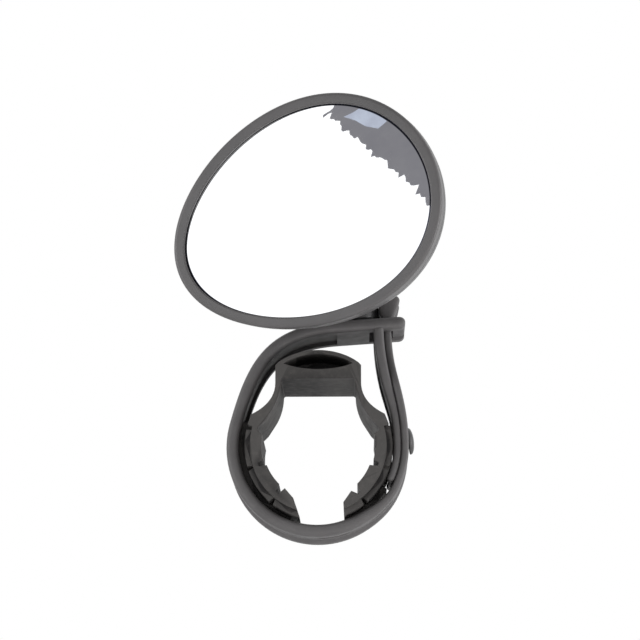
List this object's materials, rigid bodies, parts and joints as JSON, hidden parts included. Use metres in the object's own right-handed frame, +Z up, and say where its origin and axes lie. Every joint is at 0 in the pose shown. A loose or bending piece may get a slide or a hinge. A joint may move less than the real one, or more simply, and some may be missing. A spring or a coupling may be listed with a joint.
{
  "type": "bicycle handlebar mirror",
  "caption": "Egg-shaped convex mirror on a ball-jointed arm, held to a handlebar by a looped rubber strap with a toothed grip liner.",
  "frame": {"origin": "on the handlebar's axis, at the middle of the strap's width", "axes": "+X to the right as the rider sees the mirror, +Y along the handlebar away from the rider, +Z up"},
  "size_m": [0.0679, 0.0476, 0.1084],
  "materials": {
    "mirror_face": "polished, slightly convex",
    "foam_pad": "closed-cell foam tape",
    "shell_plastic": "satin moulded black",
    "joint_plastic": "satin moulded black",
    "seat_nylon": "natural nylon",
    "steel": "zinc plated",
    "strap_rubber": "satin moulded rubber",
    "liner_rubber": "matt moulded rubber"
  },
  "bodies": {
    "clamp": {"strap": "strap_rubber", "grip_liner": "liner_rubber", "strap_stud": "joint_plastic", "stud_plate": "steel", "base_plate": "joint_plastic", "pivot_screw": "steel", "pivot_washer": "steel"},
    "socket": {"socket_cup": "joint_plastic", "socket_collar": "joint_plastic"},
    "seat": {"ball_seat": "seat_nylon"},
    "mirror_head": {"ball_arm": "joint_plastic", "arm_screw_left": "steel", "arm_screw_right": "steel", "rear_cover": "shell_plastic", "bezel_frame": "shell_plastic", "mirror_lens": "mirror_face", "lens_pad": "foam_pad"}
  },
  "joints": [
    {"name": "socket_swivel", "type": "hinge", "parent": "clamp", "child": "socket", "pos_m": [0.0087, 0, 0.0406], "axis": [-0.0698, 0, 0.9976], "range_deg": [-8, 30]},
    {"name": "head_roll", "type": "hinge", "parent": "socket", "child": "seat", "pos_m": [0.0087, 0, 0.0406], "axis": [-0.1899, -0.9678, -0.1651], "range_deg": [-46, 5]},
    {"name": "head_nod", "type": "hinge", "parent": "seat", "child": "mirror_head", "pos_m": [0.0087, 0, 0.0406], "axis": [0.8902, -0.2406, 0.387], "range_deg": [-30, 5]}
  ]
}
